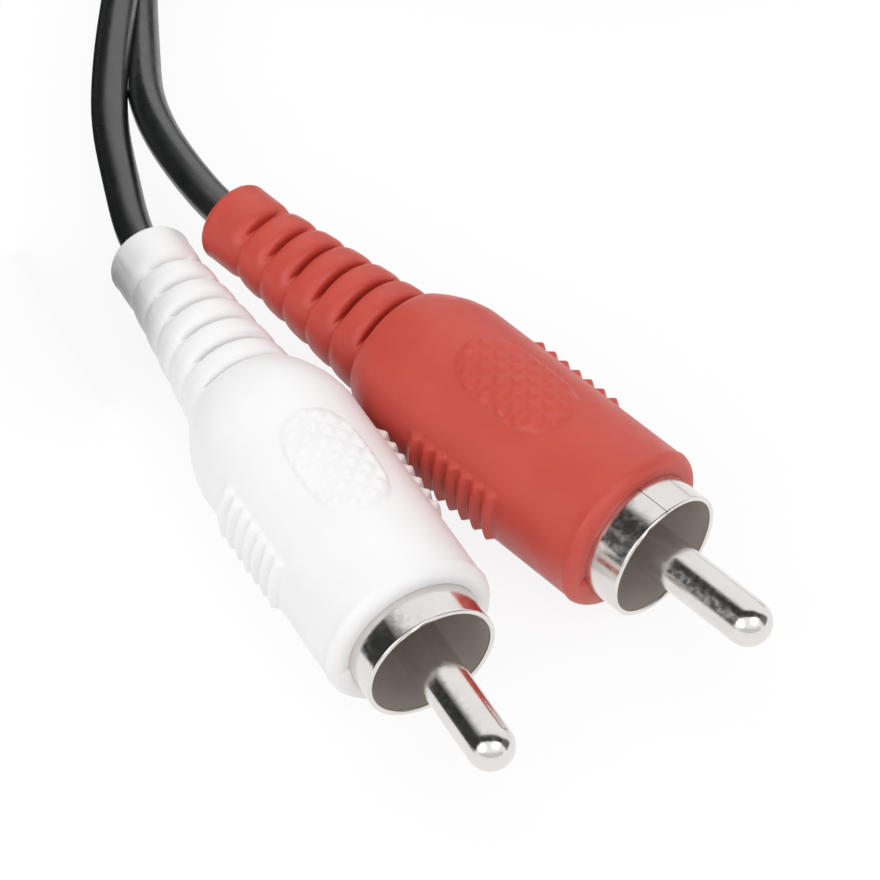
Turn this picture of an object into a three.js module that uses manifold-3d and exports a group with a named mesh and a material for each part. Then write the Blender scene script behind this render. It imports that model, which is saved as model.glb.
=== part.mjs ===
// A stereo RCA lead: two moulded phono plugs, white and red, on each end of a twin cord.
// Millimetres, +Z up, lying on z = 0. The origin is under the middle of the two plugs in use;
// the rest of the cord lies coiled behind them with the other two plugs beside it.
import * as THREE from 'three';
import { mergeVertices } from 'three/addons/utils/BufferGeometryUtils.js';
import Module from 'manifold-3d';

const wasm = await Module();
wasm.setup();

// Driving dimensions. Along a plug, s is 0 at the rim of the shield ring and grows
// towards the tip of the pin, so everything that is moulded has a negative s.

// Contacts
const pinRadius = 1.6;
const pinReach = 8.9;
const shankRadius = 1.2;
const solderCupRadius = 0.45;
const solderCupDepth = 2;
const ringRadius = 4.6;
const sheet = 0.35;
const ringLength = 9;
const ringSeam = 0.15;
const ringTailLength = 4.9;
const ringTailAngle = 44;
const insulatorDepth = 6.5;
const insulatorThickness = 2.9;

// Cable
const coreRadius = 1.3;
const jacketWall = 0.3;
const screenWall = 0.15;
const dielectricRadius = 0.65;
const wireRadius = 0.25;
const drainRadius = 0.3;

// Outer moulding
const faceDepth = 2.4;
const bodyRadius = 5.95;
const bodyLength = 18.3;
const faceRound = 0.9;
const coneLength = 4.1;
const neckRadius = 4.18;
const reliefPitch = 2.5;
const reliefRings = 5;
const reliefTaper = 0.096;
const grooveDepth = 0.34;
const slotWidth = 0.7;
const slotFloor = 2;
const collarLength = 3.7;
const collarRound = 0.8;

// Grips on the moulding: an oval diamond pad above and below, ribs on the two sides
const gripMiddle = -13.3;
const padLength = 9.4;
const padWidth = 5.7;
const padRise = 0.12;
const padHeight = 0.3;
const diamondSize = 1.485;
const ribLength = 7.84;
const ribHeight = 0.5;
const ribCount = 7;
const ribPatchWidth = 4.4;

// The white plug's relief hangs a little and leans sideways; its moulding sits slightly turned
const whiteRoll = -5;
const whiteDroop = 5.5;
const whiteLean = 2.5;
const hinge = -22.6;

// Clearances
const seatGap = 0.2;
const endGap = 0.3;
const wireGap = 0.1;

// Places and facets of the plugs
const near = { sides: 24, pinSides: 12, ringCrests: [0.28, 0.72], roundSteps: 3, diamonds: true };
const far = { sides: 12, pinSides: 8, ringCrests: [0.5], roundSteps: 2, diamonds: false };
const bending = { ...near, joint: true };
const boreSides = 12;
const wireSides = 6;
const whiteRim = [0.6, -15.8];
const whiteHeading = -60.4;
const redRim = [15.45, -7.3];
const redHeading = -45.7;
const farWhiteRim = [52.5, 45];
const farRedRim = [67, 42];
const farWhiteHeading = -92;
const farRedHeading = -86;

// Coil: two layers of turns standing on edge, and the ends that leave it
const coilCentre = [9.9, 87];
const coilOuterTurn = 31;
const coilInnerTurn = 25.5;
const coilRoom = 0.15;
const coilSides = 28;

// What follows from them
const bodyFront = -faceDepth;
const bodyRear = bodyFront - bodyLength;
const coneRear = bodyRear - coneLength;
const lastGroove = coneRear - reliefRings * reliefPitch;
const plugRear = lastGroove - collarLength;
const axisHeight = bodyRadius + padHeight;
const ringRear = -ringLength;
const ringTailRear = ringRear - ringTailLength;
const insulatorRear = -insulatorDepth - insulatorThickness;
const shankRear = insulatorRear - 3.2;
const mouthRadius = ringRadius + seatGap;
const insideRing = ringRadius - sheet - seatGap;
const innerMouldFront = insulatorRear - endGap;
const innerMouldRear = -22.4;
const innerMouldWaist = 3.2;
const jacketFront = innerMouldRear + 4;
const screenFront = jacketFront + 0.4;
const dielectricFront = shankRear - endGap - 0.4;
const wireFront = shankRear + solderCupDepth - endGap;
const cordEnd = plugRear + endGap;
const coilInside = coilInnerTurn - coreRadius - coilRoom;
const coilOutside = coilOuterTurn + coreRadius + coilRoom;
const edgeHeight = 2 * coreRadius + 0.05;
const coilMeeting = Math.sqrt((coilOutside + endGap) ** 2 - (coilOuterTurn - coreRadius) ** 2);

const degrees = Math.PI / 180;

// Materials

function plastic(name, colour, roughness) {
  return new THREE.MeshStandardMaterial({ name, color: colour, roughness, metalness: 0 });
}

function metal(name, colour, roughness) {
  return new THREE.MeshStandardMaterial({ name, color: colour, roughness, metalness: 1 });
}

const finishes = {
  white: () => plastic('white PVC', 0xf4f4f2, 0.45),
  red: () => plastic('red PVC', 0xcb564e, 0.45),
  jacket: () => plastic('black PVC jacket', 0x141817, 0.4),
  innerMould: () => plastic('natural polyethylene', 0xd9d6cc, 0.55),
  insulator: () => plastic('black insulator', 0x26231f, 0.5),
  dielectric: () => plastic('clear polyethylene', 0xe6e4dc, 0.5),
  nickel: () => metal('nickel plate', 0xebeae8, 0.18),
  copper: () => metal('copper wire', 0xb87347, 0.35),
};

// Solids

function welded(geometry) {
  geometry.deleteAttribute('normal');
  geometry.deleteAttribute('uv');
  const merged = mergeVertices(geometry, 1e-4);
  const index = Array.from(merged.index.array);
  const kept = [];
  for (let i = 0; i < index.length; i += 3) {
    const [a, b, c] = index.slice(i, i + 3);
    if (a !== b && b !== c && c !== a) kept.push(a, b, c);
  }
  merged.setIndex(kept);
  return merged;
}

function toSolid(geometry) {
  const vertProperties = new Float32Array(geometry.attributes.position.array);
  const triVerts = new Uint32Array(geometry.index.array);
  return new wasm.Manifold(new wasm.Mesh({ numProp: 3, vertProperties, triVerts }));
}

function fromSolid(solid) {
  const mesh = solid.getMesh();
  const geometry = new THREE.BufferGeometry();
  geometry.setAttribute('position', new THREE.BufferAttribute(mesh.vertProperties, 3));
  geometry.setIndex(Array.from(mesh.triVerts));
  return geometry;
}

// A closed outline of [s, r] points turned about the plug's axis, which is X.
// The outline runs forwards on the outside and backwards inside.
function revolved(outline, sides) {
  const points = outline.map(([s, r]) => new THREE.Vector2(r, s));
  const geometry = new THREE.LatheGeometry(points, sides);
  geometry.rotateZ(-90 * degrees);
  return welded(geometry);
}

function sleeve(rear, front, outer, inner, sides) {
  return revolved([[rear, inner], [rear, outer], [front, outer], [front, inner], [rear, inner]], sides);
}

// A part of the cable, from the collar to the front, with corners at the hinge if it bends
function cableSleeve(front, outer, inner, joint) {
  const bendOutside = joint ? [[hinge, outer]] : [];
  const bendInside = joint ? [[hinge, inner]] : [];
  return revolved([
    [cordEnd, inner], [cordEnd, outer], ...bendOutside,
    [front, outer], [front, inner], ...bendInside, [cordEnd, inner],
  ], boreSides);
}

function box(length, width, height, x, y, z) {
  const geometry = new THREE.BoxGeometry(length, width, height);
  geometry.translate(x, y, z);
  return welded(geometry);
}

// Points of a quarter round from one direction to another, in degrees from the s axis
function arc(s, r, radius, from, to, steps) {
  const points = [];
  for (let i = 0; i <= steps; i++) {
    const angle = (from + ((to - from) * i) / steps) * degrees;
    points.push([s + radius * Math.cos(angle), r + radius * Math.sin(angle)]);
  }
  return points;
}

// A round or oval section swept along a route of [x, y, z] points
function swept(points, width, height, sides, steps) {
  const outline = [];
  for (let i = 0; i < sides; i++) {
    const angle = ((i + 0.5) * 2 * Math.PI) / sides;
    const x = (Math.cos(angle) * height) / 2 / Math.cos(Math.PI / sides);
    const y = (Math.sin(angle) * width) / 2 / Math.cos(Math.PI / sides);
    outline.push(new THREE.Vector2(x, y));
  }
  const path = new THREE.CatmullRomCurve3(points.map((p) => new THREE.Vector3(...p)));
  const shape = new THREE.Shape(outline);
  return welded(new THREE.ExtrudeGeometry(shape, { steps, extrudePath: path }));
}

// Contacts

function pin(sides) {
  const ball = pinReach - pinRadius;
  const shoulder = -insulatorDepth + endGap;
  const cupFloor = shankRear + solderCupDepth;
  return revolved([
    [cupFloor, 0],
    [cupFloor, solderCupRadius],
    [shankRear, solderCupRadius],
    [shankRear, shankRadius],
    [shoulder, shankRadius],
    [shoulder, pinRadius],
    ...arc(ball, 0, pinRadius, 90, 15, 4),
    [pinReach, 0],
  ], sides);
}

// The shield contact is a strip rolled round with one seam on top. A tail at the bottom
// runs back inside the moulding for the screen wires.
function shieldRing(sides) {
  const ring = toSolid(sleeve(ringRear, 0, ringRadius, ringRadius - sheet, sides));
  const tailTube = toSolid(sleeve(ringTailRear, ringRear + 1, ringRadius, ringRadius - sheet, sides));
  const tailWidth = 2 * ringRadius * Math.sin((ringTailAngle / 2) * degrees);
  const tailZone = toSolid(box(ringTailLength + 2, tailWidth, ringRadius + 1, ringRear - 1.5, 0, -ringRadius));
  const seam = toSolid(box(ringLength + 2, ringSeam, 2, ringRear / 2, 0, ringRadius));
  return fromSolid(ring.add(tailTube.intersect(tailZone)).subtract(seam));
}

function insulator(sides) {
  return sleeve(insulatorRear, -insulatorDepth, insideRing, shankRadius + seatGap, sides);
}

// Cable, from the collar to the pin

function jacketEnd(joint) {
  return cableSleeve(jacketFront, coreRadius, coreRadius - jacketWall, joint);
}

// The screen's wires lie round the dielectric and leave it as one twisted end,
// which lies against the tail of the ring.
function screen(joint) {
  const outer = coreRadius - jacketWall - wireGap;
  const tube = toSolid(cableSleeve(screenFront, outer, outer - screenWall, joint));
  const tailLine = -(insideRing - drainRadius);
  const route = [
    [screenFront - 0.3, 0, -outer],
    [screenFront + 1.2, 0, -outer - 0.6],
    [(screenFront + ringTailRear) / 2 + 0.6, 0, (tailLine - outer) / 2 - 0.2],
    [ringTailRear + 0.6, 0, tailLine],
    [ringTailRear + 2.6, 0, tailLine],
  ];
  return fromSolid(tube.add(toSolid(swept(route, 2 * drainRadius, 2 * drainRadius, wireSides, 4))));
}

function dielectric(joint) {
  return cableSleeve(dielectricFront, dielectricRadius, wireRadius + wireGap, joint);
}

function wire(joint) {
  const bendOutside = joint ? [[hinge, wireRadius]] : [];
  return revolved([
    [cordEnd, 0], [cordEnd, wireRadius], ...bendOutside, [wireFront, wireRadius], [wireFront, 0],
  ], wireSides);
}

// Inner moulding: a plain block that holds the joints, slotted below for the screen wires

function innerMould() {
  const cableBore = coreRadius + wireGap;
  const block = toSolid(revolved([
    [innerMouldRear, cableBore],
    [innerMouldRear, innerMouldWaist],
    [ringTailRear - 1.5, innerMouldWaist],
    [ringTailRear, insideRing],
    [innerMouldFront, insideRing],
    [innerMouldFront, shankRadius + seatGap],
    [shankRear - endGap, shankRadius + seatGap],
    [shankRear - endGap, dielectricRadius + wireGap],
    [screenFront + endGap, dielectricRadius + wireGap],
    [screenFront + endGap, cableBore],
    [innerMouldRear, cableBore],
  ], boreSides));
  const slotRear = screenFront - 1;
  const slotFront = ringTailRear + 3.2;
  const slot = box(slotFront - slotRear, 2 * drainRadius + 2 * wireGap, insideRing,
    (slotFront + slotRear) / 2, 0, -insideRing / 2 - dielectricRadius);
  return fromSolid(block.subtract(toSolid(slot)));
}

// Outer moulding

// Radius of the tapering strain relief at its groove lines
function reliefRadius(s) {
  return neckRadius - grooveDepth - reliefTaper * (coneRear - s);
}

// Rounded rings of the strain relief, from the collar to the cone
function reliefOutline(ringCrests) {
  const points = [];
  for (let i = reliefRings; i > 0; i--) {
    const groove = coneRear - i * reliefPitch;
    points.push([groove, reliefRadius(groove)]);
    for (const share of ringCrests) {
      const s = groove + share * reliefPitch;
      points.push([s, reliefRadius(s) + grooveDepth]);
    }
  }
  points.push([coneRear, reliefRadius(coneRear)]);
  return points;
}

function outerOutline({ ringCrests, roundSteps }) {
  const collarRadius = reliefRadius(lastGroove) + grooveDepth - 0.04;
  return [
    [plugRear, 0],
    ...arc(plugRear + collarRound, collarRadius - collarRound, collarRound, 180, 90, 2),
    [lastGroove - 0.6, collarRadius],
    ...reliefOutline(ringCrests),
    [coneRear + 0.3, neckRadius + 0.25],
    [bodyRear - 2.3, bodyRadius - 0.75],
    [bodyRear - 1.1, bodyRadius - 0.28],
    [bodyRear + 0.3, bodyRadius],
    ...arc(bodyFront - faceRound, bodyRadius - faceRound, faceRound, 90, 0, roundSteps),
    [bodyFront, 0],
  ];
}

// The hollow inside: mouth for the ring, pocket for the inner moulding, bore for the cable
function pocket(sides) {
  const cableBore = coreRadius + wireGap;
  const pocketStep = ringTailRear - endGap;
  const pocketRear = innerMouldRear - endGap;
  return revolved([
    [plugRear - 1, 0],
    [plugRear - 1, cableBore],
    [pocketRear, cableBore],
    [pocketRear, innerMouldWaist + seatGap],
    [pocketStep - 1, innerMouldWaist + seatGap],
    [pocketStep, mouthRadius],
    [bodyFront + 1, mouthRadius],
    [bodyFront + 1, 0],
  ], sides);
}

// Slots cut across the relief from above and below, down to a flat floor
function reliefSlots() {
  const cutters = [];
  for (let i = 0; i <= reliefRings; i++) {
    const s = coneRear - i * reliefPitch;
    for (const side of [1, -1]) {
      cutters.push(toSolid(box(slotWidth, 2 * bodyRadius, bodyRadius, s, 0,
        side * (slotFloor + bodyRadius / 2))));
    }
  }
  return wasm.Manifold.union(cutters);
}

// Saw-tooth ribs run round the body and are kept only in a patch on each side
function sideRibs(sides) {
  const middle = gripMiddle - 0.18;
  const front = middle + ribLength / 2;
  const pitch = ribLength / ribCount;
  const outline = [[front - ribLength, bodyRadius - 0.5]];
  for (let i = 0; i < ribCount; i++) {
    const rear = front - ribLength + i * pitch;
    outline.push([rear, bodyRadius + 0.02], [rear + 0.64 * pitch, bodyRadius + ribHeight]);
  }
  outline.push([front, bodyRadius + 0.02], [front, bodyRadius - 0.5]);
  outline.push([front - ribLength, bodyRadius - 0.5]);
  const rings = toSolid(revolved(outline, sides));
  const patch = toSolid(box(ribLength + 1, 4 * bodyRadius, ribPatchWidth, middle, 0, 0));
  return rings.intersect(patch);
}

// The oval pad follows the body's curve, a little proud of it
function padPlate(sides) {
  const rear = gripMiddle - padLength / 2 - 1;
  const tube = toSolid(sleeve(rear, rear + padLength + 2, bodyRadius + padRise, bodyRadius - 0.4, sides));
  const oval = new THREE.CylinderGeometry(0.5, 0.5, 4 * bodyRadius, 20);
  oval.rotateX(90 * degrees);
  oval.scale(padLength, padWidth, 1);
  oval.translate(gripMiddle, 0, 0);
  return tube.intersect(toSolid(welded(oval)));
}

// One pyramid of the diamond grip, standing on the body at s and at an angle from the top
function diamond(s, angle, side) {
  const height = padHeight - padRise + 0.2;
  const geometry = new THREE.ConeGeometry(0.5, height, 4);
  geometry.rotateX(90 * degrees);
  geometry.scale(diamondSize, diamondSize, 1);
  geometry.translate(0, 0, axisHeight - height / 2);
  geometry.rotateX(angle);
  if (side < 0) geometry.rotateX(Math.PI);
  geometry.translate(s, 0, 0);
  return toSolid(welded(geometry));
}

function insideOval(s, y) {
  const margin = 0.86;
  return Math.hypot((2 * (s - gripMiddle)) / padLength, (2 * y) / padWidth) < margin;
}

function diamonds() {
  const found = [];
  const rows = Math.ceil(padWidth / diamondSize);
  const columns = Math.ceil(padLength / diamondSize);
  for (let row = -rows; row <= rows; row++) {
    for (let column = -columns; column <= columns; column++) {
      if ((row + column) % 2 !== 0) continue;
      const y = (row * diamondSize) / 2;
      const s = gripMiddle + (column * diamondSize) / 2;
      if (!insideOval(s, y)) continue;
      for (const side of [1, -1]) found.push(diamond(s, y / bodyRadius, side));
    }
  }
  return wasm.Manifold.union(found);
}

function moulding(detail) {
  const { sides } = detail;
  const skin = toSolid(revolved(outerOutline(detail), sides)).subtract(reliefSlots());
  const plated = skin.add(sideRibs(sides)).add(padPlate(sides));
  const gripped = detail.diamonds ? plated.add(diamonds()) : plated;
  return fromSolid(gripped.subtract(toSolid(pocket(sides))));
}

// Bend of the white plug's relief

// A point of the straight plug, moved to where the bend takes it
function bent([s, y, z]) {
  if (s >= hinge) return [s, y, z];
  const point = new THREE.Vector3(s - hinge, y, z);
  point.applyAxisAngle(new THREE.Vector3(0, 0, 1), -whiteLean * degrees);
  point.applyAxisAngle(new THREE.Vector3(0, 1, 0), -whiteDroop * degrees);
  return [point.x + hinge, point.y, point.z];
}

function bendGeometry(geometry) {
  const points = geometry.attributes.position;
  for (let i = 0; i < points.count; i++) {
    points.setXYZ(i, ...bent([points.getX(i), points.getY(i), points.getZ(i)]));
  }
}

// Plugs

function node(name, geometry, material) {
  const mesh = new THREE.Mesh(geometry, material);
  mesh.name = name;
  return mesh;
}

function plug(name, colour, rim, heading, detail) {
  const group = new THREE.Group();
  group.add(
    node(`${name}_moulding`, moulding(detail), finishes[colour]()),
    node(`${name}_inner_mould`, innerMould(), finishes.innerMould()),
    node(`${name}_shield_ring`, shieldRing(detail.sides), finishes.nickel()),
    node(`${name}_insulator`, insulator(boreSides), finishes.insulator()),
    node(`${name}_pin`, pin(detail.pinSides), finishes.nickel()),
    node(`${name}_jacket_end`, jacketEnd(detail.joint), finishes.jacket()),
    node(`${name}_screen`, screen(detail.joint), finishes.copper()),
    node(`${name}_dielectric`, dielectric(detail.joint), finishes.dielectric()),
    node(`${name}_wire`, wire(detail.joint), finishes.copper()),
  );
  group.rotation.z = heading * degrees;
  group.position.set(rim[0], rim[1], axisHeight);
  return group;
}

function whitePlug() {
  const group = plug('white', 'white', whiteRim, whiteHeading, bending);
  group.getObjectByName('white_moulding').geometry.rotateX(whiteRoll * degrees);
  for (const mesh of group.children) bendGeometry(mesh.geometry);
  return group;
}

// Cord

// Where the cord leaves a plug, a gap behind its collar, and points on a line on from there
function behind(rim, heading, distance, shape = (point) => point) {
  const [s, y, z] = shape([plugRear - endGap - distance, 0, 0]);
  const place = new THREE.Vector3(s, y, z).applyAxisAngle(new THREE.Vector3(0, 0, 1), heading * degrees);
  return [rim[0] + place.x, rim[1] + place.y, axisHeight + place.z];
}

function leg(name, points, steps) {
  const width = 2 * coreRadius;
  return node(name, swept(points, width, width, 8, steps), finishes.jacket());
}

function twin(name, points, steps) {
  const geometry = swept(points, 4 * coreRadius, 2 * coreRadius, 8, steps);
  return node(name, geometry, finishes.jacket());
}

function coil() {
  const inner = coilInside;
  const outer = coilOutside;
  const height = 8 * coreRadius + coilRoom;
  const bevel = coreRadius;
  const outline = [
    [0, inner + bevel], [0, outer - bevel], [bevel, outer], [height - bevel, outer],
    [height, outer - bevel], [height, inner + bevel], [height - bevel, inner], [bevel, inner],
    [0, inner + bevel],
  ];
  const geometry = revolved(outline, coilSides);
  geometry.rotateY(-90 * degrees);
  geometry.translate(coilCentre[0], coilCentre[1], 0);
  return node('coil', geometry, finishes.jacket());
}

function cords() {
  const group = new THREE.Group();
  group.add(
    leg('white_leg', [
      behind(whiteRim, whiteHeading, 0, bent),
      behind(whiteRim, whiteHeading, 1.8, bent),
      [-20.7, 25.9, 4.5],
      [-21.6, 29.9, 4.7],
      [-22.1, 32.35, 5],
    ], 4),
    leg('red_leg', [
      behind(redRim, redHeading, 0),
      behind(redRim, redHeading, 1.2),
      [-15.7, 25.45, 6.2],
      [-17.8, 29.3, 5.8],
      [-18.95, 32.35, 5.3],
    ], 4),
    twin('twin_run', [
      [-20.85, 33.05, 5.3],
      [-21.05, 37.5, 4.9],
      [-21.15, 42, 4.5],
      [-21.2, 48, 3.9],
      [-21.2, 56, 3.1],
      [-21.1, 63, 2.7],
      [coilCentre[0] - coilOuterTurn, coilCentre[1] - coilMeeting, edgeHeight],
    ], 7),
    coil(),
    twin('far_twin_run', [
      [coilCentre[0] + coilMeeting, coilCentre[1] + coilOuterTurn, 6.9],
      [32, 117.9, 5],
      [39, 117.6, 3.5],
      [47, 116, 2.8],
      [54, 111.5, edgeHeight],
      [57.7, 107, edgeHeight],
    ], 7),
    leg('far_white_leg', [
      [56.9, 106, 1.5],
      [57.2, 103.5, 2.1],
      [55.3, 98, 4.4],
      [54.2, 91.5, 6.1],
      behind(farWhiteRim, farWhiteHeading, 0),
    ], 7),
    leg('far_red_leg', [
      [59.5, 106, 1.5],
      [60.6, 103.5, 2.1],
      [62.6, 97, 4.4],
      [63.5, 90.5, 6.1],
      behind(farRedRim, farRedHeading, 0),
    ], 7),
  );
  return group;
}

// Assembly

function stereoLead() {
  const lead = new THREE.Group();
  lead.add(
    whitePlug(),
    plug('red', 'red', redRim, redHeading, near),
    plug('far_white', 'white', farWhiteRim, farWhiteHeading, far),
    plug('far_red', 'red', farRedRim, farRedHeading, far),
    cords(),
  );
  return lead;
}

export default stereoLead();
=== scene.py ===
# A stereo RCA lead: two near plugs, white and red, on a twin black cord that ends in a coil
# and two more plugs out of view. Metres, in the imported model's frame.
import math

import bmesh
import bpy
import numpy as np
from mathutils import Matrix, Vector


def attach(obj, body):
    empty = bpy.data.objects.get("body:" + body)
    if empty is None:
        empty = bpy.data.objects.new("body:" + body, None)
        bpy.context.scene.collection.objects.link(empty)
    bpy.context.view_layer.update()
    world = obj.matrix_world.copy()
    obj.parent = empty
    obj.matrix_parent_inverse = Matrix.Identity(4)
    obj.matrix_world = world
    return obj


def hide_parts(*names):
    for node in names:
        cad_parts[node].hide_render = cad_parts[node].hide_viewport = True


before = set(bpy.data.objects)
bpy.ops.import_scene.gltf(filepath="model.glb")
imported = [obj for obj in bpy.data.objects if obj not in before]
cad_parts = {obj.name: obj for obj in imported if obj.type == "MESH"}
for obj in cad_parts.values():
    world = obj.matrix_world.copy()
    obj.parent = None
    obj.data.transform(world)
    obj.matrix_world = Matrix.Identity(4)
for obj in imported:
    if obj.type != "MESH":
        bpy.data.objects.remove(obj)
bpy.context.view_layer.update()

MM = 0.001

# Camera, fitted to the photograph with the pin as the scale

PHOTO_PIXELS = 880
FOCAL_PIXELS = 4320.7
SENSOR_WIDTH = 36
CAMERA_PLACE = (0.0011, -0.1780, 0.2234)
CAMERA_TILT = 39.72

# Plugs: where the rim of each ring is and where each pin points, as in the solids

AXIS_HEIGHT = 6.25 * MM
PLUGS = {
    "white": ((0.6 * MM, -15.8 * MM), -60.4),
    "red": ((15.45 * MM, -7.3 * MM), -45.7),
    "far_white": ((52.5 * MM, 45 * MM), -92),
    "far_red": ((67 * MM, 42 * MM), -86),
}

# Contacts. Along a plug, s is 0 at the rim of the ring and grows towards the tip of the pin.

PIN_RADIUS = 1.6 * MM
PIN_REACH = 8.9 * MM
PIN_REAR = -9 * MM
SHANK_RADIUS = 1.2 * MM
SHANK_SEAT = 0.3 * MM
RING_RADIUS = 4.6 * MM
RING_SHEET = 0.35 * MM
RING_LENGTH = 9 * MM
RING_EDGE = 0.11 * MM
RING_SEAM = 0.05 * MM
RING_SEAM_TURNS = {"white": 200, "far_white": 200}
INSULATOR_FACE = -6.5 * MM
INSULATOR_REAR = -9.4 * MM
INSULATOR_GAP = 0.03 * MM
HUB_RADIUS = 2.3 * MM
HUB_RISE = 0.25 * MM
HUB_SLOPE = 0.1 * MM

# Moulding, from its face to the collar at its rear. The slots run across the relief's top and
# underside and fade out between two heights up its sides, given as sines.

FACE = -2.4 * MM
BODY_RADIUS = 5.95 * MM
BODY_REAR = FACE - 18.3 * MM
FACE_ROUND = 0.9 * MM
MOUTH_RADIUS = RING_RADIUS - 0.02 * MM
MOUTH_ROUND = 0.07 * MM
CORNER_SOFTNESS = 0.22 * MM
CONE_REAR = BODY_REAR - 4.1 * MM
NECK_RADIUS = 4.18 * MM
RELIEF_PITCH = 2.5 * MM
RELIEF_RINGS = 5
RELIEF_TAPER = 0.096
SCALLOP = 0.34 * MM
SCALLOP_REACH = 0.95 * MM
SLOT_WIDTH = 0.42 * MM
SLOT_FLOOR = 2 * MM
SLOT_LIP = 0.78 * MM
SLOT_PROUD = 0.08 * MM
SLOT_FADE = (0.42, 0.9)
FLOOR_BLEND = 0.3 * MM
GROOVE_BLEND = 0.35 * MM
LAST_GROOVE = CONE_REAR - RELIEF_RINGS * RELIEF_PITCH
COLLAR_LENGTH = 3.7 * MM
COLLAR_ROUND = 0.8 * MM
HOLE_ROUND = 0.2 * MM
EDGE_ROW = 0.05 * MM
FACE_STEP = 0.25 * MM
STEP_END = (1.93 * math.pi, 1.97 * math.pi)
NICK_DEPTH = 0.14 * MM
NICK_WIDTH = math.radians(3)
NOTCH_ANGLE = math.radians(189)
PLUG_REAR = LAST_GROOVE - COLLAR_LENGTH

# Grips: oval pads with diamonds, which are cut on the rows of a fine grid, and patches of ribs

GRIP_MIDDLE = -13.3 * MM
FINE_STEP = 1.485 / 14 * MM
DIAMOND_STEPS = 7
PAD_LENGTH = 9.4 * MM
PAD_WIDTH = 5.7 * MM
PAD_FULLNESS = 2.6
PAD_EDGE = 0.87
PAD_RISE = 0.17 * MM
DIAMOND_RISE = 0.13 * MM
DIAMOND_SLOPE = 0.85
RIB_MIDDLE = GRIP_MIDDLE - 0.18 * MM
RIB_LENGTH = 7.84 * MM
RIB_COUNT = 7
RIB_RISE_SHARE = 0.64
RIB_HEIGHT = 0.55 * MM
RIB_ROUND = 0.085 * MM
RIB_PATCH_WIDTH = 4.4 * MM
RIB_PATCH_EDGE = (2 * MM, 2.35 * MM)

# The white plug's relief hangs a little and leans sideways, and its moulding sits slightly turned

WHITE_ROLL = math.radians(-5)
WHITE_DROOP = math.radians(5.5)
WHITE_LEAN = math.radians(2.5)
BEND_START = BODY_REAR
BEND_LENGTH = 3.8 * MM

# The red plug's moulding sits a little further back on its contacts

MOULDING_SHIFT = {"red": -0.2 * MM}

# Cord. Its web and the red core in it start a few points from the ends of the twin line.

CORE_RADIUS = 1.3 * MM
CORD_HOLE = CORE_RADIUS + 0.03 * MM
CORE_OFFSET = 1.24 * MM
CORE_STEP = 1 * MM
CORE_SIDES = 28
CORE_STRIDE = 4
WEB_RADII = (0.5 * MM, 0.42 * MM)
WEB_SIDES = 8
WEB_START = 2
RED_SPLIT = 3
INTO_COLLAR = 0.8 * MM
CORD_LENGTH = 0.93
COIL_CENTRE = (0.0099, 0.087)
COIL_OUTER = 0.031
COIL_INNER = 0.0255
COIL_LOW = 0.00265
COIL_HIGH = 0.0079
COIL_MEETING = 0.0138
LOWER_TURNS = 2
CLIMB_TURNS = 0.35
ALL_TURNS = 4.25


def soft_step(value, low, high):
    """0 up to low, 1 from high on, and a smooth rise between them."""
    share = np.clip((value - low) / (high - low), 0, 1)
    return share * share * (3 - 2 * share)


def bend_turn(share):
    """The bend's turn, full at a share of 1, as a matrix for each share."""
    lean, droop = -WHITE_LEAN * share, -WHITE_DROOP * share
    cos_l, sin_l, cos_d, sin_d = np.cos(lean), np.sin(lean), np.cos(droop), np.sin(droop)
    rows = [
        [cos_d * cos_l, -cos_d * sin_l, sin_d],
        [sin_l, cos_l, 0 * share],
        [-sin_d * cos_l, sin_d * sin_l, cos_d],
    ]
    return np.moveaxis(np.array(rows), 2, 0)


def bent(points):
    """Points of a straight plug, moved to where the white plug's bend takes them."""
    points = np.array(points, float)
    reach = np.linspace(0, 40 * MM, 2001)
    turns = bend_turn(soft_step(reach, 0, BEND_LENGTH))
    middle = np.array([BEND_START, 0, 0]) - np.cumsum(turns[:, :, 0], axis=0) * reach[1]
    past = BEND_START - points[:, 0]
    behind_start = past > 0
    away = past[behind_start]
    turns = bend_turn(soft_step(away, 0, BEND_LENGTH))
    centre = np.stack([np.interp(away, reach, middle[:, k]) for k in range(3)], axis=1)
    section = points[behind_start] * [0, 1, 1]
    points[behind_start] = centre + np.einsum("nij,nj->ni", turns, section)
    return points


def placed(points, plug):
    """Points of a plug's own frame, moved to where that plug lies."""
    (x, y), heading = PLUGS[plug]
    turn = np.array(Matrix.Rotation(math.radians(heading), 3, "Z"))
    shaped = bent(points) if plug == "white" else np.asarray(points)
    return shaped @ turn.T + np.array([x, y, AXIS_HEIGHT])


def behind(plug, distance):
    """The point on a plug's axis this far behind its collar."""
    return tuple(placed([(PLUG_REAR - 0.3 * MM - distance, 0, 0)], plug)[0])


WHITE_LEG = [
    behind("white", 0),
    behind("white", 0.0018),
    (-0.0207, 0.0259, 0.0045),
    (-0.0216, 0.0299, 0.0047),
    (-0.0221, 0.03235, 0.005),
]
RED_LEG = [
    behind("red", 0),
    behind("red", 0.0012),
    (-0.0157, 0.02545, 0.0062),
    (-0.0178, 0.0293, 0.0058),
    (-0.01895, 0.03235, 0.0053),
]
TWIN_RUN = [
    (-0.02085, 0.03305, 0.0053),
    (-0.02105, 0.0375, 0.0049),
    (-0.02115, 0.042, 0.0045),
    (-0.0212, 0.048, 0.0039),
    (-0.0212, 0.056, 0.0031),
    (-0.0211, 0.063, 0.0027),
    (COIL_CENTRE[0] - COIL_OUTER, COIL_CENTRE[1] - COIL_MEETING, COIL_LOW),
]
FAR_TWIN_RUN = [
    (COIL_CENTRE[0] + COIL_MEETING, COIL_CENTRE[1] + COIL_OUTER, 0.0069),
    (0.032, 0.1179, 0.005),
    (0.039, 0.1176, 0.0035),
    (0.047, 0.116, 0.0028),
    (0.054, 0.1115, 0.00265),
    (0.0577, 0.107, 0.00265),
]
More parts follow.
